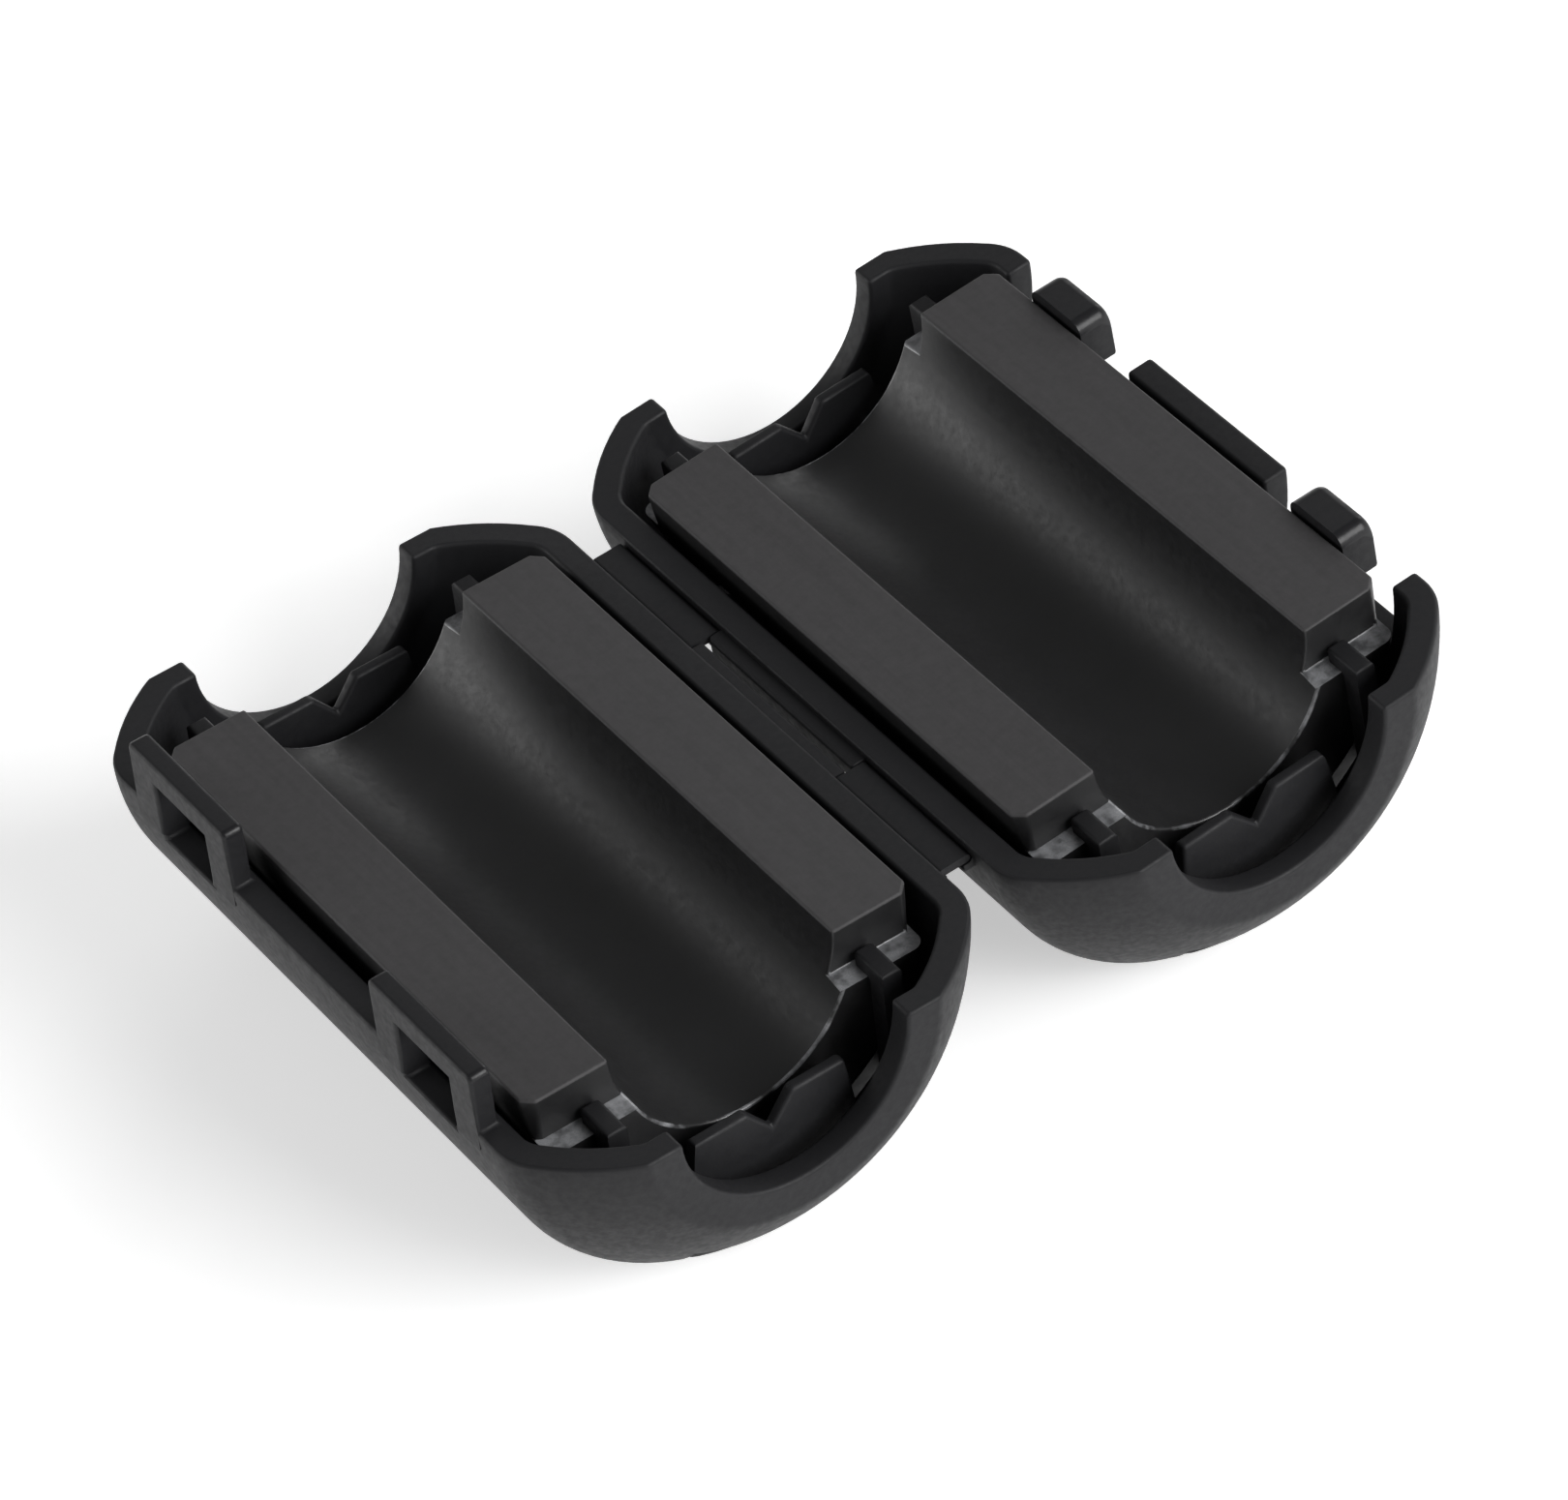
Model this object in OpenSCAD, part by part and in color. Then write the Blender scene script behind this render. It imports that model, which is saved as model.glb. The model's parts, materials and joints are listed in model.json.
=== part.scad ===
// Clip-on ferrite bead for a round cable, hinged open.
// Two plastic half shells each hold one half of a ferrite core, and two thin webs hinge them together.
// Every half is modelled in its own frame: Y along the cable, Z = 0 on the closing plane, hinge side at +X.

/* [Ferrite core] */
// Length of the core along the cable
core_len = 29; // [26:0.1:32]
// Width of the core
core_w = 19; // [17.5:0.1:21]
// Depth of the core's flat back below its mating face
core_back = 9; // [8.6:0.05:9.2]
// Rounding of the core's end edges
core_round = 0.6; // [0.4:0.05:0.8]
// Diameter of the cable bore
bore_d = 11; // [9:0.1:12]
// Length by which each leg stops short of the core's end
leg_step = 1.1; // [0.8:0.05:1.6]
// Depth of the ledge below the mating face
ledge_depth = 2.2; // [1.9:0.05:2.5]
// Chamfer on the corners of the mating faces
core_chamfer = 0.5; // [0.2:0.05:0.9]
// Height by which the springs hold the core proud of the closing plane
core_proud = 0.75; // [0.4:0.05:0.9]
// Gap left at each mating face when the bead is shut
face_gap = 0.03; // [0.01:0.01:0.06]

/* [Shell] */
// Wall of the half shells
wall = 1.3; // [1:0.05:1.6]
// Room between the core and the shell's walls
core_gap = 0.6; // [0.5:0.05:0.9]
// Depth by which the outer flat is set into the round side
flat_trim = 0.55; // [0.45:0.05:0.65]
// Thickness of the floor at the flat
floor_t = 1; // [0.9:0.05:1.1]
// Distance from the core's end to the shell's end
end_room = 4; // [3.8:0.1:4.4]
// Radius of the shoulder between the side and the sloping end
shoulder_r = 2.5; // [2:0.1:3]
// Angle through which the shoulder turns
shoulder_turn = 38; // [34:1:42]
// Radius of the sloping end's slight bow
bow_r = 11; // [9.5:0.5:12]
// Width of the ring's face around the cable opening
horn_w = 1.65; // [1.3:0.05:2]
// Thickness of the ring around the cable opening
end_wall = 1.2; // [1:0.05:1.4]
// Gap between the two rims when the bead is shut
parting = 0.12; // [0.06:0.01:0.2]

/* [Leaf spring] */
// Width of the leaf between its two slits
leaf_w = 6.6; // [5.6:0.1:7]
// Length of the two slits beside the leaf
leaf_len = 18; // [15:0.5:20]
// Width of each slit
slit_w = 0.7; // [0.5:0.05:0.9]
// Depth of the leaf's outer face below the shell's flat
leaf_recess = 0.35; // [0.2:0.05:0.5]
// Gap between the leaf's crown and the pressed core
leaf_gap = 0.12; // [0.08:0.01:0.2]

/* [Cable grip] */
// Width of the tongue that carries the grip
tongue_w = 8.2; // [7.4:0.1:9]
// Width of the slots beside the tongue
tongue_slot = 0.7; // [0.5:0.05:0.9]
// Width of the slot across the tongue's end
end_slot = 0.7; // [0.5:0.05:0.8]
// Length of the side branch of each slot
slot_branch = 3.3; // [2.5:0.1:3.6]
// Thickness of the grip plate along the cable
grip_t = 0.6; // [0.5:0.05:0.8]
// Clearance between the core's end and the grip plate
grip_gap = 1.15; // [1:0.05:1.3]
// Depth of the finger tips below the closing plane
grip_depth = 3.15; // [2.8:0.05:3.5]
// Depth of the notch between the two fingers
grip_notch_d = 1.45; // [1.1:0.05:1.6]
// Width of the notch between the two fingers
grip_notch_w = 2.2; // [1.6:0.1:2.8]
// Width of the claws that hold the core's ends
claw_w = 0.95; // [0.8:0.05:1.2]
// Distance of the claws from the middles of the legs, towards the bore
claw_shift = 0.75; // [0.6:0.05:0.9]
// Depth of the claws' tops below the rim
claw_drop = 0.65; // [0.5:0.05:0.8]
// Thickness of a claw's stem
claw_t = 0.95; // [0.8:0.05:1.1]
// Clearance between a claw and the core
claw_gap = 0.15; // [0.1:0.01:0.2]
// Clearance under a claw's nose while the core stands proud
claw_seat = 0.04; // [0.02:0.01:0.1]

/* [Hinge] */
// Depth of the hinge lines below the closing plane
hinge_drop = 0.6; // [0.5:0.05:0.9]
// Thickness of the webs
web_t = 0.4; // [0.3:0.05:0.5]
// Length of each web along the cable
web_len = 7.3; // [6:0.1:8.5]
// Distance between the middles of the two webs
web_pitch = 17.7; // [17:0.1:19]
// Clearance around the webs
hinge_gap = 0.05; // [0.03:0.01:0.08]
// Thickness of the ledge under a web's edge
hinge_ledge = 0.5; // [0.4:0.05:0.7]
// Gap between the two middle lips of the open bead
lip_gap = 0.26; // [0.15:0.01:0.4]
// Angle of each half above level as the bead lies open
rest_tilt = 2.7; // [0:0.1:5]

/* [Latch] */
// Distance between the middles of the two latches
latch_pitch = 18; // [17:0.1:18.6]
// Length of a latch frame
frame_len = 7.4; // [6.8:0.1:7.8]
// Height of a latch frame above the closing plane
frame_h = 3.05; // [2.7:0.05:3.2]
// Thickness of a latch frame
frame_t = 1; // [0.9:0.05:1.1]
// Height of the bar above a frame's window
frame_bar = 1.3; // [1:0.05:1.5]
// Length of a hook
hook_len = 3.5; // [2.8:0.1:3.8]
// Height of a hook's tip above the closing plane
hook_tip = 1.2; // [0.9:0.05:1.5]
// Clearance between a hook's stem and the frame
hook_gap = 0.05; // [0.03:0.01:0.1]
// Clearance between a hook's stem and the core
hook_core_gap = 0.15; // [0.1:0.01:0.2]
// Distance from a hook's head to the shell's outer face
head_inset = 0.1; // [0.05:0.05:0.3]
// Lead-in on the top edge of a hook's head
hook_lead = 0.25; // [0.15:0.05:0.4]
// Clearance around a hook's head in its window
window_gap = 0.15; // [0.1:0.01:0.25]
// Clearance at each end of a frame in its notch
notch_gap = 0.55; // [0.3:0.05:0.7]
// Clearance above a frame in its notch
notch_top_gap = 0.2; // [0.15:0.05:0.4]

/* [Hidden] */
$fn = 64;

plastic = "#2b2b2d";
ferrite = "#434446";

// Reach of a cut past the surface it opens
over = 1;

// Core
core_r = core_w / 2;
bore_r = bore_d / 2;
core_end = core_len / 2;
leg_end = core_end - leg_step;
leg_mid = (core_r + bore_r) / 2;

// Shell, measured from the cable's axis
inner_r = core_r + core_gap;
outer_r = inner_r + wall;
flat_z = outer_r - flat_trim;
floor_z = flat_z - floor_t;
flat_half = sqrt(outer_r * outer_r - flat_z * flat_z);
half_len = core_end + end_room;
inner_half_len = half_len - end_wall;
end_r = bore_r + horn_w;
rim_z = -parting / 2;

// Sloping ends: the middles of the shoulder's arc and of the bow, as distances from the axis and along it
// The bow dips a little into the shoulder, so that the two arcs cross instead of only touching
bow_dip = 0.01;
mid_gap = bow_r - shoulder_r + bow_dip;
shoulder_mid = outer_r - shoulder_r;
bow_mid = shoulder_mid - mid_gap * cos(shoulder_turn);
bow_y = half_len - sqrt(bow_r * bow_r - (end_r - bow_mid) * (end_r - bow_mid));
shoulder_y = bow_y + mid_gap * sin(shoulder_turn);

// Leaf spring
leaf_crown = floor_z - core_back - face_gap - leaf_gap;
crown_r = (leaf_len * leaf_len / 4 + leaf_crown * leaf_crown) / (2 * leaf_crown);

// Cable grip and claws
tongue_root = core_end - 2 * tongue_slot;
grip_y = core_end + grip_gap;
tongue_end = grip_y + grip_t;
finger_w = tongue_w / 2 - 0.4;
ledge_z = core_proud - ledge_depth;
claw_x = leg_mid - claw_shift;
claw_top = rim_z - claw_drop;

// Hinge
hinge_x = outer_r + web_t / 2 + hinge_gap;
web_span = 2 * hinge_drop;
seat_r = web_t / 2 + hinge_gap;
lip_reach = hinge_x - outer_r + (web_span - lip_gap) / 2;
hinge_height = -(hinge_x - flat_half) * sin(rest_tilt) + (flat_z - hinge_drop) * cos(rest_tilt);

// Latch
stem_in = core_r + hook_core_gap;
stem_out = outer_r - frame_t - hook_gap;
head_out = outer_r - head_inset;
window_top = frame_h - frame_bar;
window_low = hook_tip + window_gap;
head_low = window_top - window_gap;
window_len = hook_len + 2 * window_gap;
notch_len = frame_len + 2 * notch_gap;
notch_depth = frame_h + notch_top_gap;

// A box given by the middle of its Y side and its ranges in X and Z
module block(x0, x1, y_mid, y_len, z0, z1)
  translate([x0, y_mid - y_len / 2, z0]) cube([x1 - x0, y_len, z1 - z0]);

// Copies of the children at both ends of the bead
module both_ends() {
  children();
  mirror([0, 1, 0]) children();
}

// Copies of the children on both sides of the cable
module both_sides() {
  children();
  mirror([1, 0, 0]) children();
}

// Half outline of a barrel with sloping ends, from its axis out, moved inwards by a wall
module barrel_outline(inset, end_y) {
  translate([0, -shoulder_y]) square([outer_r - inset, 2 * shoulder_y]);
  for (s = [0, 1]) mirror([0, s]) {
    translate([shoulder_mid, shoulder_y]) circle(shoulder_r - inset);
    intersection() {
      translate([bow_mid, bow_y]) circle(bow_r - inset);
      square([shoulder_mid + (shoulder_r - inset) * cos(shoulder_turn), end_y]);
    }
  }
}

// A round barrel along the cable with a flat below
module barrel(inset, end_y, flat_z)
  intersection() {
    rotate([90, 0, 0]) rotate_extrude() barrel_outline(inset, end_y);
    block(-outer_r - over, outer_r + over, 0, 2 * end_y + over, -flat_z, outer_r + over);
  }

module outer_barrel() barrel(0, half_len, flat_z);
module inner_barrel() barrel(wall, inner_half_len, floor_z);

// Slits that free the leaf spring, and the recess of its outer face
module leaf_cuts() {
  both_sides() block(leaf_w / 2, leaf_w / 2 + slit_w, 0, leaf_len, -outer_r - over, -floor_z + over);
  block(-leaf_w / 2, leaf_w / 2, 0, leaf_len, -outer_r - over, -flat_z + leaf_recess);
}

// Crown on the inside of the leaf, which presses on the core's back
module leaf_spring_crown()
  intersection() {
    translate([0, 0, -floor_z + leaf_crown - crown_r]) rotate([0, 90, 0])
      cylinder(r = crown_r, h = leaf_w, center = true, $fn = 180);
    block(-leaf_w / 2, leaf_w / 2, 0, leaf_len, -flat_z + leaf_recess, 0);
  }

// Slots that free one tongue: along its sides, out from its root and across its end
module tongue_cuts() {
  edge = tongue_w / 2;
  low = -outer_r - over;
  both_sides() {
    block(edge, edge + tongue_slot, (tongue_root + tongue_end) / 2, tongue_end - tongue_root, low, -bore_r + over);
    block(edge, edge + slot_branch, tongue_root + tongue_slot / 2, tongue_slot, low, -bore_r);
  }
  block(-edge - tongue_slot, edge + tongue_slot, tongue_end + end_slot / 2, end_slot, low, -bore_r + over);
}

// Grip plate at a tongue's end: two tapered fingers with a notch between them
module grip_plate()
  translate([0, tongue_end, 0]) rotate([90, 0, 0]) linear_extrude(grip_t)
    polygon([
      [-tongue_w / 2, -outer_r],
      [-tongue_w / 2, -grip_depth - 2 * grip_notch_d],
      [-finger_w, -grip_depth],
      [-grip_notch_w / 2, -grip_depth],
      [0, -grip_depth - grip_notch_d],
      [grip_notch_w / 2, -grip_depth],
      [finger_w, -grip_depth],
      [tongue_w / 2, -grip_depth - 2 * grip_notch_d],
      [tongue_w / 2, -outer_r],
    ]);

// Claws that reach over the ledges at one end of the core
module claws() {
  stem_y = core_end + claw_gap;
  nose_y = leg_end + claw_gap;
  both_sides() translate([claw_x - claw_w / 2, 0, 0]) {
    translate([0, stem_y, -outer_r]) cube([claw_w, claw_t, claw_top + outer_r]);
    translate([0, nose_y, ledge_z + claw_seat]) cube([claw_w, stem_y - nose_y + claw_t, claw_top - ledge_z - claw_seat]);
  }
}

// Ledge and round seat for the edge of one web
module hinge_seat(y_mid)
  translate([0, y_mid + web_len / 2, 0]) rotate([90, 0, 0]) linear_extrude(web_len)
    difference() {
      translate([outer_r - wall / 2, -hinge_drop - seat_r - hinge_ledge])
        square([wall / 2 + 2 * seat_r, hinge_ledge + seat_r]);
      translate([hinge_x, -hinge_drop]) circle(seat_r);
      translate([hinge_x, -hinge_drop - seat_r]) square(3 * seat_r);
    }

// Seats for both webs, and the lip between them
module hinge_side() {
  for (s = [-1, 1]) hinge_seat(s * web_pitch / 2);
  block(outer_r - wall / 2, outer_r + lip_reach, 0, web_pitch - web_len - 2 * hinge_gap,
    -hinge_drop - seat_r - hinge_ledge, -hinge_drop + web_t / 2);
}

// One half shell without its latch
module half_shell() {
  intersection() {
    outer_barrel();
    union() {
      difference() {
        block(-outer_r - over, outer_r + over, 0, 2 * half_len + over, -outer_r - over, rim_z);
        inner_barrel();
        leaf_cuts();
        both_ends() tongue_cuts();
        rotate([90, 0, 0]) cylinder(r = bore_r, h = 2 * half_len + over, center = true);
      }
      leaf_spring_crown();
      both_ends() grip_plate();
      both_ends() claws();
    }
  }
  hinge_side();
}

// Both latches, at their places along the latch side
module at_latches() for (s = [-1, 1]) translate([0, s * latch_pitch / 2, 0]) children();

// Frame of one latch, and the window and hook room cut in it
module latch_frame() block(-outer_r, -outer_r + frame_t, 0, frame_len, rim_z - over, frame_h);
module latch_window() {
  block(-outer_r - over, -inner_r + over, 0, window_len, -window_low, window_top);
  block(-outer_r + frame_t, -inner_r + over, 0, window_len, -window_low, frame_h + over);
}

// Notch that takes one frame, and the hook that stands in it
module latch_notch() block(-outer_r - over, -inner_r + over, 0, notch_len, -notch_depth, over);
module latch_hook()
  translate([0, hook_len / 2, 0]) rotate([90, 0, 0]) linear_extrude(hook_len)
    polygon([
      [-stem_in, -notch_depth - wall],
      [-stem_in, hook_tip],
      [hook_lead - head_out, hook_tip],
      [-head_out, hook_tip - hook_lead],
      [-head_out, -head_low],
      [-stem_out, -head_low],
      [-stem_out, -notch_depth - wall],
    ]);

// Half outline of the core with its end edges rounded
module core_outline() {
  translate([0, core_round - core_end]) square([core_r, core_len - 2 * core_round]);
  translate([0, -core_end]) square([core_r - core_round, core_len]);
  for (s = [-1, 1]) translate([core_r - core_round, s * (core_end - core_round)]) circle(core_round);
}

// Half of the ferrite core, standing proud on its springs
module half_core()
  translate([0, 0, core_proud])
    difference() {
      intersection() {
        rotate([90, 0, 0]) rotate_extrude() core_outline();
        block(-core_r - over, core_r + over, 0, core_len + over, -core_back, 0);
      }
      rotate([90, 0, 0]) cylinder(r = bore_r, h = core_len + over, center = true);
      both_ends() translate([-core_r - over, leg_end, -ledge_depth]) cube([core_w + 2 * over, core_len, core_w]);
      both_ends() both_sides()
        translate([core_r, leg_end, 0]) rotate(45) cube([core_chamfer * sqrt(2), core_w, 2 * ledge_depth], center = true);
    }

// One web with its edges rounded about the two hinge lines
module hinge_web(y_mid)
  translate([0, y_mid, hinge_height]) rotate([90, 0, 0]) linear_extrude(web_len - 2 * hinge_gap, center = true) {
    square([web_span, web_t], center = true);
    for (s = [-1, 1]) translate([s * web_span / 2, 0]) circle(web_t / 2);
  }

// Places of the two halves as the bead lies open
module base_side()
  translate([-web_span / 2, 0, hinge_height]) rotate([0, rest_tilt, 0]) translate([-hinge_x, 0, hinge_drop]) children();
module lid_side() mirror([1, 0, 0]) base_side() children();

module base_shell() color(plastic) base_side()
  difference() {
    union() {
      half_shell();
      at_latches() latch_frame();
    }
    at_latches() latch_window();
  }

module lid_shell() color(plastic) lid_side() {
  difference() {
    half_shell();
    at_latches() latch_notch();
  }
  at_latches() latch_hook();
}

module base_core() color(ferrite) base_side() half_core();
module lid_core() color(ferrite) lid_side() half_core();
module hinge_web_front() color(plastic) hinge_web(-web_pitch / 2);
module hinge_web_rear() color(plastic) hinge_web(web_pitch / 2);

base_shell();
base_core();
hinge_web_front();
hinge_web_rear();
lid_shell();
lid_core();
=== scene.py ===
# %% [markdown]
# # An open clip-on ferrite bead
# The bead is a black plastic case that hinges open like a clam. Each half holds one half of a ferrite
# core, and the shut bead wraps the core round a cable to soak up electrical noise. The packed CAD model
# comes in first as a fixed frame. It gives every size and place in metres, so nothing is measured by eye
# here: this file adds what the eye wants, which is soft moulded edges, surface finishes, light and a
# camera.

import json
from math import radians

import bpy
from mathutils import Matrix, Vector

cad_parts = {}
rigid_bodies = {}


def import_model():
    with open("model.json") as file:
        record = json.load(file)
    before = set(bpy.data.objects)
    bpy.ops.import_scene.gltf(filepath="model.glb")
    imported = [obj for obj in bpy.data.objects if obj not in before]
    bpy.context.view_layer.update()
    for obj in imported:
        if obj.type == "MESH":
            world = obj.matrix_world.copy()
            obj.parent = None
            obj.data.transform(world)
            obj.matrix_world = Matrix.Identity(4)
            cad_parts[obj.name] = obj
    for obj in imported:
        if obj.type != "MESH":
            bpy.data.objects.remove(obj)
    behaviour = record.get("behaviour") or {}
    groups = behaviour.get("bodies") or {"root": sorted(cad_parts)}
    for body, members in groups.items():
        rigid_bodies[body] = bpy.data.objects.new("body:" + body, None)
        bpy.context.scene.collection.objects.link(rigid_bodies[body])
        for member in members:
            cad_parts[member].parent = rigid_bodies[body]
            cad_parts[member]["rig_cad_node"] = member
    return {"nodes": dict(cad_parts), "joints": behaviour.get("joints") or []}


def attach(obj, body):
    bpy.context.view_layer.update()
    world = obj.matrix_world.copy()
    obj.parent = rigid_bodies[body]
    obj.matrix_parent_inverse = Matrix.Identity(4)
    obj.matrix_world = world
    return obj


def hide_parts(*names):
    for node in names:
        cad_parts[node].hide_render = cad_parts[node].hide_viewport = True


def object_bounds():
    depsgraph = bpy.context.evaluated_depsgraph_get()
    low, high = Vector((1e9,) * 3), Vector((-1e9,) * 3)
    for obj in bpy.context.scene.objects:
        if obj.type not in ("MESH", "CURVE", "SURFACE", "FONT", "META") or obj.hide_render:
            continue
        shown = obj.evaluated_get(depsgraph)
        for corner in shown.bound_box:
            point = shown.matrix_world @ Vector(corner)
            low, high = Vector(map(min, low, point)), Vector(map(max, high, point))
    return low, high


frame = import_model()
cad_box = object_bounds()
MM = 0.001
print("nodes:", sorted(frame["nodes"]))
print("CAD box in mm:", [[round(v / MM, 2) for v in corner] for corner in cad_box])

# %% [markdown]
# ## Camera
# The camera stands where a camera fit to the photograph puts it: a third of a metre away on the front
# left, some 40 degrees up, behind a long lens. A long lens from far away keeps the two halves nearly the
# same size. It could be placed with a Track To constraint, but then its roll isn't the photograph's, so
# its right-hand direction is kept and only the aim moves to the middle of the bead.

# %% Camera
CAMERA_MM = (-113.5, -206.7, 241.3)
CAMERA_RIGHT = (0.81566, -0.55931, -0.14792)
LENS_MM = 182.0
SENSOR_MM = 36.0
NEAREST_M = 0.01

middle = (Vector(cad_box[0]) + Vector(cad_box[1])) / 2
eye = Vector(CAMERA_MM) * MM
forward = (middle - eye).normalized()
right = Vector(CAMERA_RIGHT)
right = (right - forward * right.dot(forward)).normalized()
up = right.cross(forward)

bpy.ops.object.select_all(action="DESELECT")
bpy.ops.object.camera_add(location=eye)
camera = bpy.context.active_object
camera.name = "camera"
camera.matrix_world = Matrix.Translation(eye) @ Matrix((right, up, -forward)).transposed().to_4x4()
camera.data.lens = LENS_MM
camera.data.sensor_width = SENSOR_MM
camera.data.clip_start = NEAREST_M
bpy.context.scene.camera = camera
bpy.context.scene.view_settings.view_transform = "Standard"
print("camera distance in mm:", round((middle - eye).length / MM, 1))

# %% [markdown]
# ## Helpers for materials
# Colours are picked as sRGB hex values, the way a photo editor shows them, and Blender's shaders want
# linear light, so one function converts them. Another one adds a node with its settings and links, so
# that each material below reads as a short list of what it is made of. The colours along a ramp are such
# a setting too, given as stops.

# %% Colour and node helpers


def linear(hex_colour):
    """An sRGB hex colour as linear RGBA."""
    channels = [int(hex_colour[i : i + 2], 16) / 255 for i in (1, 3, 5)]
    return [c / 12.92 if c <= 0.04045 else ((c + 0.055) / 1.055) ** 2.4 for c in channels] + [1.0]


def add_node(owner, kind, settings=None, **inputs):
    """A node with its settings, and its inputs given as values or as sockets to link from."""
    node = owner.node_tree.nodes.new(kind)
    settings = dict(settings or {})
    for k, (place, colour) in enumerate(settings.pop("stops", [])):
        elements = node.color_ramp.elements
        element = elements[k] if k < len(elements) else elements.new(place)
        element.position = place
        element.color = colour
    for name, value in settings.items():
        setattr(node, name, value)
    for name, value in inputs.items():
        socket = node.inputs[name.replace("_", " ")]
        if isinstance(value, bpy.types.NodeSocket):
            owner.node_tree.links.new(value, socket)
        else:
            socket.default_value = value
    return node


def empty_material(name):
    """A material with nothing in its node tree yet."""
    material = bpy.data.materials.new(name)
    material.use_nodes = True
    material.node_tree.nodes.clear()
    return material


print("mid grey #808080 in linear light:", round(linear("#808080")[0], 3))

# %% [markdown]
# ## Finish 1: black polyamide, moulded
# The case is black polyamide, shot into a spark-eroded mould. Such a mould leaves a fine matte grain that
# spreads every reflection into a soft grey, so the black only looks black where it mirrors something
# dark. The grain could be modelled, but it is far smaller than a pixel, so it is a bump pattern, drawn at
# a third of a millimetre to show at all. A little of it also goes into the roughness, because the tops of
# the grain are rubbed smoother in handling. Large faint clouds in the colour come from the flow of the
# melt. Polyamide has an IOR of about 1.53, and the pits of the grain swallow part of what it mirrors, so
# 1.37 comes closer. The tips of the latch rub on each other each time the bead is shut, so the same
# finish is made once more with less roughness.

# %% Moulded polyamide
GRAIN_MM = 0.35
FLOW_MM = 9.0


def moulded_polyamide(name, smoothest, roughest):
    """Black plastic with a matte grain."""
    material = empty_material(name)
    place = add_node(material, "ShaderNodeTexCoord").outputs["Object"]
    flow = add_node(
        material, "ShaderNodeTexNoise", Vector=place, Scale=1 / (FLOW_MM * MM), Detail=3.0, Roughness=0.55
    )
    tint = add_node(
        material,
        "ShaderNodeValToRGB",
        {"stops": [(0.3, linear("#19191b")), (0.7, linear("#1f1f21"))]},
        Fac=flow.outputs["Fac"],
    )
    grain = add_node(
        material, "ShaderNodeTexNoise", Vector=place, Scale=1 / (GRAIN_MM * MM), Detail=2.0, Roughness=0.6
    )
    gloss = add_node(
        material,
        "ShaderNodeMapRange",
        Value=grain.outputs["Fac"],
        From_Min=0.3,
        From_Max=0.7,
        To_Min=smoothest,
        To_Max=roughest,
    )
    relief = add_node(
        material, "ShaderNodeBump", Height=grain.outputs["Fac"], Strength=0.3, Distance=0.02 * MM
    )
    shader = add_node(
        material,
        "ShaderNodeBsdfPrincipled",
        Base_Color=tint.outputs["Color"],
        Roughness=gloss.outputs["Result"],
        Normal=relief.outputs["Normal"],
        IOR=1.37,
    )
    add_node(material, "ShaderNodeOutputMaterial", Surface=shader.outputs["BSDF"])
    return material


polyamide = moulded_polyamide("black_polyamide_spark_eroded", smoothest=0.5, roughest=0.64)
polyamide_rubbed = moulded_polyamide("black_polyamide_rubbed", smoothest=0.28, roughest=0.38)
print("finishes:", polyamide.name, "and", polyamide_rubbed.name)

# %% [markdown]
# ## Finish 2: sintered ferrite, as fired
# A ferrite core is pressed from powder and fired like a pot. The skin it comes out with is nearly black
# and a touch glossy, with a speckle from the grains and small pores. The bore and the sides keep this
# skin, and the bore's broad sheen along the cable is what shows that it is round. Solid ferrite has an
# IOR of more than 2, but a porous skin mirrors far less, so 1.55 is what matches.

# %% Fired ferrite
SPECKLE_MM = 0.4
PATCH_MM = 5.0


def fired_ferrite():
    """Nearly black ceramic skin with a fine speckle in its gloss."""
    material = empty_material("sintered_ferrite_as_fired")
    place = add_node(material, "ShaderNodeTexCoord").outputs["Object"]
    patches = add_node(
        material, "ShaderNodeTexNoise", Vector=place, Scale=1 / (PATCH_MM * MM), Detail=4.0, Roughness=0.6
    )
    tint = add_node(
        material,
        "ShaderNodeValToRGB",
        {"stops": [(0.3, linear("#19191a")), (0.7, linear("#1f1f20"))]},
        Fac=patches.outputs["Fac"],
    )
    speckle = add_node(
        material, "ShaderNodeTexNoise", Vector=place, Scale=1 / (SPECKLE_MM * MM), Detail=3.0, Roughness=0.7
    )
    gloss = add_node(
        material,
        "ShaderNodeMapRange",
        Value=speckle.outputs["Fac"],
        From_Min=0.3,
        From_Max=0.7,
        To_Min=0.4,
        To_Max=0.52,
    )
    relief = add_node(
        material, "ShaderNodeBump", Height=speckle.outputs["Fac"], Strength=0.15, Distance=0.02 * MM
    )
    shader = add_node(
        material,
        "ShaderNodeBsdfPrincipled",
        Base_Color=tint.outputs["Color"],
        Roughness=gloss.outputs["Result"],
        Normal=relief.outputs["Normal"],
        IOR=1.55,
    )
    add_node(material, "ShaderNodeOutputMaterial", Surface=shader.outputs["BSDF"])
    return material


ferrite_fired = fired_ferrite()
print("finish:", ferrite_fired.name)

# %% [markdown]
# ## Finish 3: sintered ferrite, ground
# The two halves only work if their legs meet without an air gap, so the mating faces are ground flat.
# Grinding cuts through the fired skin and leaves a paler, matte grey with very faint lines along the
# stroke of the wheel, which runs along the core. The lines are a noise pattern that is stretched along Y.
# The torn grains mirror even less than the fired skin, so the IOR is a little lower and the roughness
# higher.

# %% Ground ferrite
GRIND_LINE_MM = 0.25
GRIND_STROKE_MM = 12.0


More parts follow.
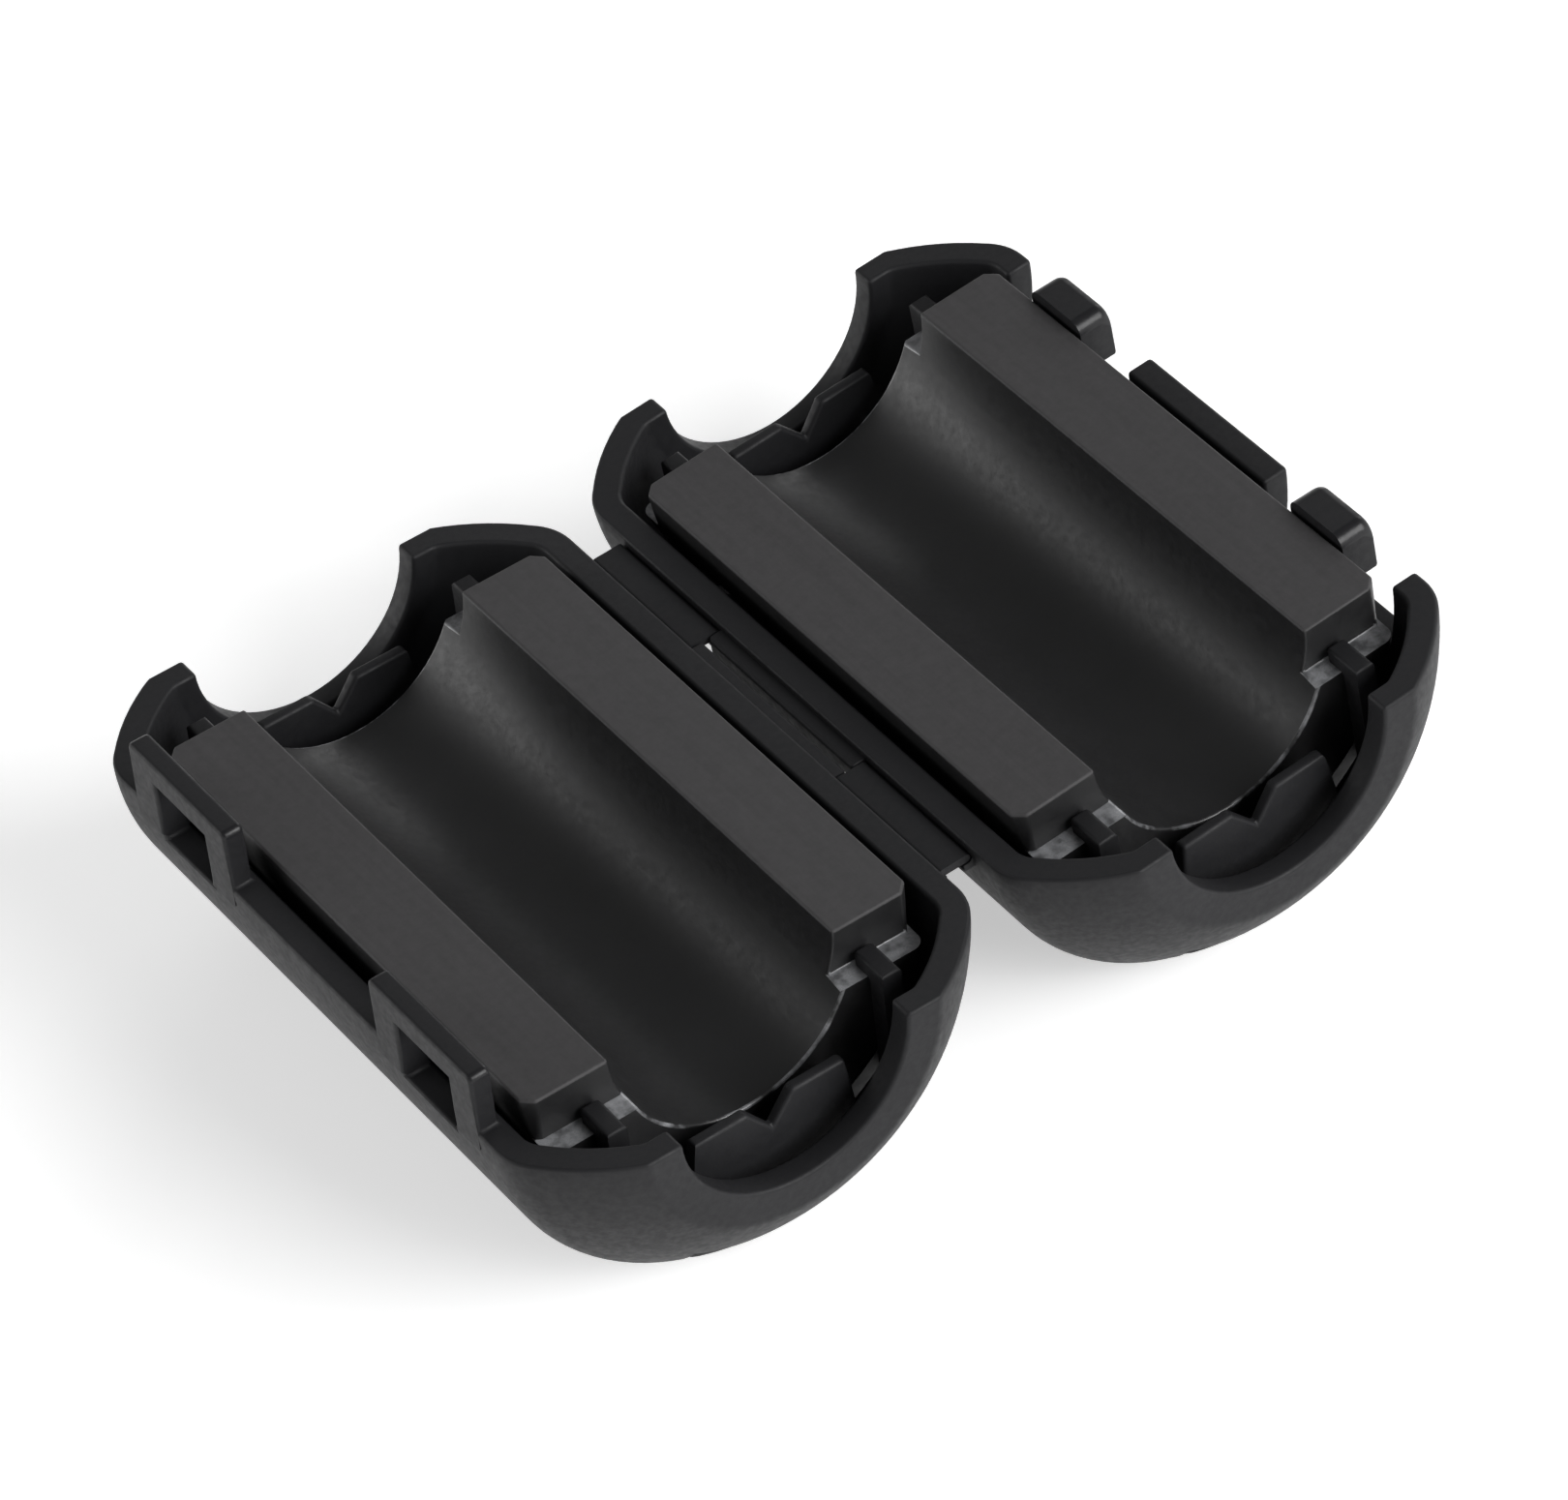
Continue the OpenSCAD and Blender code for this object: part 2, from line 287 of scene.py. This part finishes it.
def ground_ferrite():
    """Matte grey ceramic with faint grinding lines along Y."""
    material = empty_material("sintered_ferrite_ground")
    place = add_node(material, "ShaderNodeTexCoord").outputs["Object"]
    stroke = add_node(
        material, "ShaderNodeMapping", Vector=place, Scale=(1.0, GRIND_LINE_MM / GRIND_STROKE_MM, 1.0)
    )
    lines = add_node(
        material,
        "ShaderNodeTexNoise",
        Vector=stroke.outputs["Vector"],
        Scale=1 / (GRIND_LINE_MM * MM),
        Detail=2.0,
        Roughness=0.5,
    )
    speckle = add_node(
        material, "ShaderNodeTexNoise", Vector=place, Scale=1 / (SPECKLE_MM * MM), Detail=4.0, Roughness=0.7
    )
    mixed = add_node(
        material,
        "ShaderNodeMix",
        {"data_type": "FLOAT"},
        Factor=0.65,
        A=lines.outputs["Fac"],
        B=speckle.outputs["Fac"],
    )
    tint = add_node(
        material,
        "ShaderNodeValToRGB",
        {"stops": [(0.32, linear("#373637")), (0.68, linear("#414041"))]},
        Fac=mixed.outputs["Result"],
    )
    relief = add_node(
        material, "ShaderNodeBump", Height=mixed.outputs["Result"], Strength=0.12, Distance=0.01 * MM
    )
    shader = add_node(
        material,
        "ShaderNodeBsdfPrincipled",
        Base_Color=tint.outputs["Color"],
        Roughness=0.65,
        Normal=relief.outputs["Normal"],
        IOR=1.45,
    )
    add_node(material, "ShaderNodeOutputMaterial", Surface=shader.outputs["BSDF"])
    return material


ferrite_ground = ground_ferrite()
print("finish:", ferrite_ground.name)

# %% [markdown]
# ## Finish 4: sintered ferrite, glossy, with a painted highlight
# The claws of the case slide on the ledges at the core's ends whenever the bead is shut. The ledges are
# smoother and glossier than the fired skin, and the bright reflection they show is painted into their
# colour
# as a pale grey, in patches: one noise pattern moves both this painted highlight and the gloss. The end
# edges of the bore get the same painted highlight as a thin light line here and there. That is the same
# finish with a darker start, larger patches and a noise that has to rise higher before the painted
# highlight shows. A smooth, glossy spot mirrors more than the fired skin, so the IOR is higher.

# %% Ferrite with a painted highlight


def ferrite_with_painted_highlight(name, patch_mm, plain_colour, least, most):
    """Ceramic that shows its plain colour up to the least noise, and a painted highlight from the most on.
    """
    material = empty_material(name)
    place = add_node(material, "ShaderNodeTexCoord").outputs["Object"]
    highlight_patches = add_node(
        material, "ShaderNodeTexNoise", Vector=place, Scale=1 / (patch_mm * MM), Detail=4.0, Roughness=0.6
    )
    # The pale stops of this ramp are a painted highlight: the bright reflection drawn into the colour.
    tint = add_node(
        material,
        "ShaderNodeValToRGB",
        {"stops": [(least, linear(plain_colour)), (most, linear("#9a9b9e"))]},
        Fac=highlight_patches.outputs["Fac"],
    )
    gloss = add_node(
        material,
        "ShaderNodeMapRange",
        Value=highlight_patches.outputs["Fac"],
        From_Min=least,
        From_Max=most,
        To_Min=0.4,
        To_Max=0.24,
    )
    shader = add_node(
        material,
        "ShaderNodeBsdfPrincipled",
        Base_Color=tint.outputs["Color"],
        Roughness=gloss.outputs["Result"],
        IOR=1.7,
    )
    add_node(material, "ShaderNodeOutputMaterial", Surface=shader.outputs["BSDF"])
    return material


# The ledges: glossy, with their bright reflection painted in as pale grey patches, a painted highlight.
ferrite_ledge_painted_highlight = ferrite_with_painted_highlight(
    "sintered_ferrite_ledge_painted_highlight", patch_mm=0.7, plain_colour="#4d4e50", least=0.35, most=0.65
)
# The bore's end edges: a thin light line here and there, a painted highlight.
ferrite_edge_painted_highlight = ferrite_with_painted_highlight(
    "sintered_ferrite_edge_painted_highlight", patch_mm=1.2, plain_colour="#232324", least=0.46, most=0.7
)
print("finishes:", ferrite_ledge_painted_highlight.name, "and", ferrite_edge_painted_highlight.name)

# %% [markdown]
# ## Soft edges: the room beside an edge
# No moulded or fired edge is perfectly sharp: each has a small radius that catches a thin line of light,
# and that line is what makes a small part look real. A Bevel modifier can round all edges at once, but
# its clamp cuts the whole piece down to what its narrowest corner can take, which here is next to
# nothing. So each edge gets a bevel weight of its own instead. Its radius is the wanted one where there
# is room, and smaller where a neighbour is near. The room is measured straight across the faces on both
# sides of the edge, at a few spots along it, and along the smooth edges that the rounded corner slides
# on. A neighbour that gets rounded too leaves just under half of the room.

# %% Measure the room beside an edge
import bmesh
from mathutils.geometry import intersect_point_line

SHARED = 0.45
ALONE = 0.9
HALFWAY = 0.5
SPOTS = (HALFWAY, 0.04, 0.27, 0.73, 0.96)
NO_LIMIT_M = 1.0


def room_across(edge, face, sharp):
    """How wide a bevel of this edge may get on one of its faces."""
    loop = next(loop for loop in face.loops if loop.edge is edge)
    start, stop = loop.vert.co, loop.link_loop_next.vert.co
    along = (stop - start).normalized()
    inward = face.normal.cross(along)
    room = NO_LIMIT_M
    for share in SPOTS:
        spot = start.lerp(stop, share)
        for other in face.edges:
            beside = share != HALFWAY and any(vert in edge.verts for vert in other.verts)
            a, b = (vert.co - spot for vert in other.verts)
            u, v = a.dot(along), b.dot(along)
            if other is edge or beside or u * v > 0 or u == v:
                continue
            reach = a.lerp(b, u / (u - v)).dot(inward)
            if reach > 0:
                room = min(room, reach * (SHARED if other in sharp else ALONE))
    return room


def room_beside(edge, sharp):
    """How wide a bevel of this edge may get on both faces and along the smooth edges at its ends."""
    room = min(room_across(edge, face, sharp) for face in edge.link_faces)
    for vert in edge.verts:
        for rail in vert.link_edges:
            if rail not in sharp:
                shared = any(far in sharp for far in rail.other_vert(vert).link_edges)
                room = min(room, rail.calc_length() * (SHARED if shared else ALONE))
    return room


print("spots along an edge where its room is measured:", len(SPOTS))

# %% [markdown]
# ## Soft edges: one radius along each line
# A curved edge is a chain of short edges, and its radius mustn't jump from one to the next. So the chain
# is followed from point to point as long as just two sharp edges meet there, and the whole chain takes
# the smallest room that any of its edges has. The chains are sorted by length, to a ten-thousandth of a
# millimetre, so that equal ones keep the order of the mesh.

# %% Follow the chains of edges


def chain_of(edge, sharp):
    """The sharp edges that run on from this one without meeting a third."""
    chain = {edge}
    ends = [edge]
    while ends:
        last = ends.pop()
        for vert in last.verts:
            meeting = [e for e in vert.link_edges if e in sharp]
            if len(meeting) == 2:
                ends.extend(e for e in meeting if e not in chain)
                chain.update(meeting)
    return chain


def chains_of(mesh, sharp):
    """All chains of sharp edges, the shortest first."""
    chains = []
    done = set()
    for edge in mesh.edges:
        if edge in sharp and edge not in done:
            chains.append(chain_of(edge, sharp))
            done |= chains[-1]
    return sorted(chains, key=lambda chain: round(sum(e.calc_length() for e in chain) / MM, 4))


print("chains_of gives:", chains_of.__doc__)

# %% [markdown]
# ## Soft edges: a trial first
# Even so, three radii that meet in a tight corner can fold a face over. So the bevel is tried on a copy,
# and the triangles that look away from their own face are counted. Slivers too small to see are left out.

# %% Try a bevel on a copy
EDGE_SEGMENTS = 3
LEAST_FOLD_MM2 = 0.002
FOLDED_COSINE = 0.5


def only(piece):
    """Deselects everything but one piece, and makes it the active one."""
    bpy.ops.object.select_all(action="DESELECT")
    piece.select_set(True)
    bpy.context.view_layer.objects.active = piece


def round_edges(piece, edge_mm):
    """Rounds the edges of a piece by their bevel weights."""
    bevel = piece.modifiers.new("edge_radius", "BEVEL")
    bevel.width = edge_mm * MM
    bevel.segments = EDGE_SEGMENTS
    bevel.limit_method = "WEIGHT"
    bevel.use_clamp_overlap = False
    bpy.ops.object.modifier_apply(modifier=bevel.name)


def folded_spots(piece, edge_mm):
    """The middles of the triangles that a trial bevel folds over."""
    only(piece)
    bpy.ops.object.duplicate()
    trial = bpy.context.active_object
    round_edges(trial, edge_mm)
    faces = trial.data.polygons
    trial.data.calc_loop_triangles()
    spots = [
        t.center.copy()
        for t in trial.data.loop_triangles
        if t.normal.dot(faces[t.polygon_index].normal) < FOLDED_COSINE and t.area > LEAST_FOLD_MM2 * MM * MM
    ]
    bpy.data.meshes.remove(trial.data)
    return spots


print("bevel segments:", EDGE_SEGMENTS)

# %% [markdown]
# ## Soft edges: the weights
# The trial is made a few times over, and each time the shortest chain beside a fold is left crisp. That
# keeps the long edges round, which are the ones that the eye follows. A fold that stays is searched for
# its cause a little further out each time.

# %% Give each chain its weight
LEAST_ROOM_MM = 0.03
TRIALS = 8


def distance(spot, edge):
    """How far a spot lies from an edge."""
    a, b = (vert.co for vert in edge.verts)
    foot, share = intersect_point_line(spot, a, b)
    foot = a if share < 0 else b if share > 1 else foot
    return (spot - foot).length


def leave_crisp(chains, spots, reach, weight):
    """Takes the radius off the shortest round chain within reach of each folded spot."""
    for spot in spots:
        for chain in chains:
            if any(e[weight] > 0 and distance(spot, e) < reach for e in chain):
                for e in chain:
                    e[weight] = 0.0
                break


def weigh_edges(piece, edge_mm, turn):
    """Bevel weights for the edges of a piece that turn by more than an angle in degrees."""
    mesh = bmesh.new()
    mesh.from_mesh(piece.data)
    weight = mesh.edges.layers.float.new("bevel_weight_edge")
    sharp = {e for e in mesh.edges if e.calc_face_angle(0) > radians(turn)}
    chains = chains_of(mesh, sharp)
    for chain in chains:
        room = min(room_beside(e, sharp) for e in chain) / MM
        for e in chain:
            e[weight] = min(1.0, room / edge_mm) if room > LEAST_ROOM_MM else 0.0
    for trial in range(TRIALS):
        mesh.to_mesh(piece.data)
        spots = folded_spots(piece, edge_mm)
        print(piece.name, "trial", trial, "folded faces:", len(spots))
        if not spots:
            break
        leave_crisp(chains, spots, (1 + trial / 2) * edge_mm * MM, weight)
    mesh.to_mesh(piece.data)
    full = sum(e.calc_length() for e in sharp if e[weight] > 0.5)
    whole = sum(e.calc_length() for e in sharp)
    mesh.free()
    print(piece.name, "edges with over half of the radius:", round(100 * full / whole), "%")


print("trials at most:", TRIALS)

# %% [markdown]
# ## Soft edges: the copy
# The CAD solids have the true shapes with crisp edges, so each visible piece starts as a copy of its CAD
# node. The copy's loose triangles are merged, and flat areas are dissolved into single faces. Once the
# weighted bevel has rounded the edges, a Weighted Normal modifier keeps the flat faces flat to the eye,
# because without it the shading of the small round edges would bleed far into them.

# %% Copy a CAD node, and soften the copy
MERGE_MM = 0.002
FLAT_DEG = 0.5
SMOOTH_DEG = 35


def merged_copy(node_name, piece_name, finishes):
    """A copy of a CAD node with its triangles merged into whole faces, wearing the given finishes."""
    only(frame["nodes"][node_name])
    bpy.ops.object.duplicate()
    piece = bpy.context.active_object
    piece.name = piece_name
    piece.data.name = piece_name
    del piece["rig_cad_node"]
    bpy.ops.mesh.customdata_custom_splitnormals_clear()
    bpy.ops.object.mode_set(mode="EDIT")
    bpy.ops.mesh.select_all(action="SELECT")
    bpy.ops.mesh.remove_doubles(threshold=MERGE_MM * MM)
    bpy.ops.mesh.dissolve_limited(angle_limit=radians(FLAT_DEG))
    bpy.ops.object.mode_set(mode="OBJECT")
    piece.data.materials.clear()
    for finish in finishes:
        piece.data.materials.append(finish)
    return piece


def soften(piece, edge_mm, turn):
    """Rounds the edges of a piece that turn by more than an angle in degrees, and shades it smooth."""
    weigh_edges(piece, edge_mm, turn)
    only(piece)
    round_edges(piece, edge_mm)
    bpy.ops.object.shade_smooth_by_angle(angle=radians(SMOOTH_DEG))
    flats = piece.modifiers.new("flat_faces", "WEIGHTED_NORMAL")
    flats.keep_sharp = True
    bpy.ops.object.modifier_apply(modifier=flats.name)
    print(piece.name, "faces:", len(piece.data.polygons))


print("points are merged within mm:", MERGE_MM)

# %% [markdown]
# ## The latch: cut at the rim, and rounder tips
# Two things are shaped on a half shell before its edges are softened. The side of a latch frame is a
# single face that narrows to almost nothing where it passes the rim, and a bevel would fold it there. So
# the copy is cut along the plane of the rim, which makes two plain faces of it. And the tips of the hooks
# and frames, which have to find each other when the bead is shut, are rounder at their ends than the rest
# of the moulding. Their edges are found by their place: they are the highest ones that run straight
# across.

# %% Shape the latch
RIM_MM = 10.356
RIM_MERGE_MM = 0.003
TIP_DEPTH_MM = 0.3
TIP_SEGMENTS = 5
STRAIGHT_MM = 0.01
RUBBED_TIP = 1


def cut_at_rim(case, up):
    """Cuts the faces of a half shell along the plane of its rim."""
    only(case)
    bpy.ops.object.mode_set(mode="EDIT")
    bpy.ops.mesh.select_all(action="SELECT")
    bpy.ops.mesh.bisect(plane_co=up * RIM_MM * MM, plane_no=up)
    bpy.ops.mesh.select_all(action="SELECT")
    bpy.ops.mesh.remove_doubles(threshold=RIM_MERGE_MM * MM)
    bpy.ops.object.mode_set(mode="OBJECT")


def round_tips(case, up, tip_mm):
    """Rounds the ends of the highest faces of a half shell."""
    only(case)
    bpy.ops.object.mode_set(mode="EDIT")
    bpy.ops.mesh.select_mode(type="EDGE")
    bpy.ops.mesh.select_all(action="DESELECT")
    bpy.ops.object.mode_set(mode="OBJECT")
    points = [v.co for v in case.data.vertices]
    tip = max(p.dot(up) for p in points) - TIP_DEPTH_MM * MM
    for edge in case.data.edges:
        a, b = (points[k] for k in edge.vertices)
        edge.select = min(a.dot(up), b.dot(up)) > tip and abs(a.y - b.y) < STRAIGHT_MM * MM
    bpy.ops.object.mode_set(mode="EDIT")
    bpy.ops.mesh.bevel(offset=tip_mm * MM, segments=TIP_SEGMENTS, affect="EDGES", material=RUBBED_TIP)
    bpy.ops.mesh.select_mode(type="VERT")
    bpy.ops.object.mode_set(mode="OBJECT")
    print(case.name, "tip radius in mm:", tip_mm)


print("rim height in mm:", RIM_MM)

# %% [markdown]
# ## The two half shells
# The base half carries the latch frames and the lid half carries the hooks. Both are one finish all over,
# apart from the rubbed tips, and both keep the shape of the solids. A mould of this size is cut with edge
# radii of a tenth or two of a millimetre, and the copies get the same. The press axis of each core half
# points straight down into its shell, so its opposite is the way up from the rim.

# %% Half shells
SHELL_EDGE_MM = 0.18
SHELL_TURN_DEG = 24
FRAME_TIP_MM = 0.3
HOOK_TIP_MM = 0.6

way_out = {j["child"]: -Vector(j["axis"]) for j in frame["joints"] if j["type"] == "slide"}
for node_name, piece_name, body, tip_mm in (
    ("base_shell", "base_case", "base", FRAME_TIP_MM),
    ("lid_shell", "lid_case", "lid", HOOK_TIP_MM),
):
    case = merged_copy(node_name, piece_name, [polyamide, polyamide_rubbed])
    cut_at_rim(case, way_out[body + "_ferrite"])
    round_tips(case, way_out[body + "_ferrite"], tip_mm)
    soften(case, SHELL_EDGE_MM, SHELL_TURN_DEG)
    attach(case, body)
    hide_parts(node_name)

# %% [markdown]
# ## The hinge webs
# The webs are the same moulding as the shells, and their solids already have round edges. They stay as
# they are and only take the finish.

# %% Hinge webs
for node_name in ("hinge_web_front", "hinge_web_rear"):
    web = frame["nodes"][node_name]
    web.data.materials.clear()
    web.data.materials.append(polyamide)
    print(node_name, "finish:", polyamide.name)

# %% [markdown]
# ## The two core halves
# Each core half is fired all over and ground on the faces that meet the other half. Its ledges are glossy
# with a painted highlight in their colour, and the end edges of its bore carry a painted highlight line.
# One piece with several finishes keeps it a single ceramic body, so the faces are told apart in code: by
# the way they face, and by how far they lie below the mating face. The way out of each half is the opposite
# of the record's press axis, which already has the few degrees of tilt of the open bead in it. A ground
# face or a ledge face with the painted highlight shares its finish with its own rounded edges. The edges
# with the painted highlight are the faces at the ends that look neither straight along the cable nor
# straight across it.

# %% Core halves
CORE_EDGE_MM = 0.13
CORE_TURN_DEG = 40
LEDGE_DEPTH_MM = 2.2
LEG_END_MM = 13.4
FACES_OUT = 0.3
ALMOST_ACROSS = 0.2
ALMOST_ALONG = 0.98
FIRED, GROUND, LEDGE_HIGHLIGHT, EDGE_HIGHLIGHT = range(4)


def core_finish(face, out, mating):
    """Which finish a face of a core half has."""
    outward = face.normal.dot(out)
    depth = (mating - face.center.dot(out)) / MM
    at_end = abs(face.center.y) > LEG_END_MM * MM
    if outward > FACES_OUT and depth < CORE_EDGE_MM:
        return GROUND
    # The ledge tops: glossy, with a painted highlight in their colour.
    if outward > FACES_OUT and at_end and abs(depth - LEDGE_DEPTH_MM) < CORE_EDGE_MM:
        return LEDGE_HIGHLIGHT
    # The bore's end edges: a painted highlight line.
    slanted = ALMOST_ACROSS < abs(face.normal.y) < ALMOST_ALONG
    if outward > 0 and at_end and depth > LEDGE_DEPTH_MM and slanted:
        return EDGE_HIGHLIGHT
    return FIRED


for node_name, piece_name, body in (
    ("base_core", "base_core_half", "base_ferrite"),
    ("lid_core", "lid_core_half", "lid_ferrite"),
):
    finishes = [ferrite_fired, ferrite_ground, ferrite_ledge_painted_highlight, ferrite_edge_painted_highlight]
    core = merged_copy(node_name, piece_name, finishes)
    soften(core, CORE_EDGE_MM, CORE_TURN_DEG)
    out = way_out[body]
    mating = max(v.co.dot(out) for v in core.data.vertices)
    for face in core.data.polygons:
        face.material_index = core_finish(face, out, mating)
    # The third and fourth finishes carry a painted highlight: on the ledges, and on the bore's end edges.
    given = [face.material_index for face in core.data.polygons]
    counts = [given.count(kind) for kind in (FIRED, GROUND, LEDGE_HIGHLIGHT, EDGE_HIGHLIGHT)]
    print(piece_name, "fired, ground, ledge highlight and edge highlight faces:", counts)
    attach(core, body)
    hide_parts(node_name)

# %% [markdown]
# ## Table
# The bead lies on a plain white table that fills the whole view, so the background is white and the only
# thing on it is the bead's own soft shadow. A table that is lit plainly comes out light grey. More lamps
# would make it white, but they would also wash out the black bead. So the table glows by half of white
# for the rays that look at it, from the camera, in a reflection or through glass, and not for the rays
# that light the bead.

# %% White table
TABLE_M = 3.0
TABLE_GLOW = 0.5
CLOUD_M = 0.25


def white_laminate():
    """Matte white table top with clouds that are hardly there."""
    material = empty_material("white_laminate_matte")
    place = add_node(material, "ShaderNodeTexCoord").outputs["Object"]
    clouds = add_node(material, "ShaderNodeTexNoise", Vector=place, Scale=1 / CLOUD_M, Detail=2.0)
    tint = add_node(
        material,
        "ShaderNodeValToRGB",
        {"stops": [(0.3, linear("#f6f6f6")), (0.7, linear("#f8f8f8"))]},
        Fac=clouds.outputs["Fac"],
    )
    ray = add_node(material, "ShaderNodeLightPath").outputs
    kinds = add_node(
        material,
        "ShaderNodeCombineXYZ",
        X=ray["Is Camera Ray"],
        Y=ray["Is Glossy Ray"],
        Z=ray["Is Transmission Ray"],
    )
    seen = add_node(
        material, "ShaderNodeVectorMath", {"operation": "LENGTH"}, Vector=kinds.outputs["Vector"]
    )
    glow = add_node(material, "ShaderNodeMapRange", Value=seen.outputs["Value"], To_Max=TABLE_GLOW)
    shader = add_node(
        material,
        "ShaderNodeBsdfPrincipled",
        Base_Color=tint.outputs["Color"],
        Roughness=0.9,
        IOR=1.3,
        Emission_Color=(1.0, 1.0, 1.0, 1.0),
        Emission_Strength=glow.outputs["Result"],
    )
    add_node(material, "ShaderNodeOutputMaterial", Surface=shader.outputs["BSDF"])
    return material


bpy.ops.object.select_all(action="DESELECT")
bpy.ops.mesh.primitive_plane_add(size=TABLE_M, location=(0, 0, 0))
table = bpy.context.active_object
table.name = "table"
table.data.materials.append(white_laminate())
print("table side in m:", TABLE_M)

# %% [markdown]
# ## Light
# A black object shows its form mostly by what it mirrors. In this studio the walls are grey low down and
# the ceiling is darker, which leaves the faces that look straight up nearly black. The key light is a
# large softbox at the front right. It gives the ground faces their grey and lights the rounded ends of
# the case. Two low softboxes behind the bead, at the left and at the right, are seen in the bores as the
# soft bands of sheen that show how round they are.

# %% World
WALL_LIGHT = (0.45, 0.45, 0.45, 1.0)
CEILING_LIGHT = (0.16, 0.16, 0.16, 1.0)

world = bpy.data.worlds.new("white_studio")
bpy.context.scene.world = world
world.use_nodes = True
world.node_tree.nodes.clear()
look = add_node(world, "ShaderNodeTexCoord").outputs["Generated"]
height = add_node(world, "ShaderNodeSeparateXYZ", Vector=look).outputs["Z"]
walls = add_node(
    world,
    "ShaderNodeValToRGB",
    {"stops": [(0.0, WALL_LIGHT), (0.34, WALL_LIGHT), (0.6, CEILING_LIGHT)]},
    Fac=height,
)
sky = add_node(world, "ShaderNodeBackground", Color=walls.outputs["Color"], Strength=1.0)
add_node(world, "ShaderNodeOutputWorld", Surface=sky.outputs["Background"])
print("world:", world.name)

# %% Softboxes


def softbox(name, place, width, length, power):
    """A rectangular area light that looks at the middle of the bead."""
    bpy.ops.object.select_all(action="DESELECT")
    bpy.ops.object.light_add(type="AREA", location=place)
    light = bpy.context.active_object
    light.name = name
    light.data.shape = "RECTANGLE"
    light.data.size = width
    light.data.size_y = length
    light.data.energy = power
    light.rotation_euler = (middle - Vector(place)).to_track_quat("-Z", "Y").to_euler()
    print(name, "watts:", power)


softbox("softbox_front", (0.35, -0.62, 0.42), width=0.6, length=0.5, power=7.0)
softbox("softbox_left", (-0.66, 0.58, 0.21), width=0.7, length=0.44, power=2.7)
softbox("softbox_right", (0.72, 0.48, 0.32), width=0.6, length=0.36, power=1.4)

# %% [markdown]
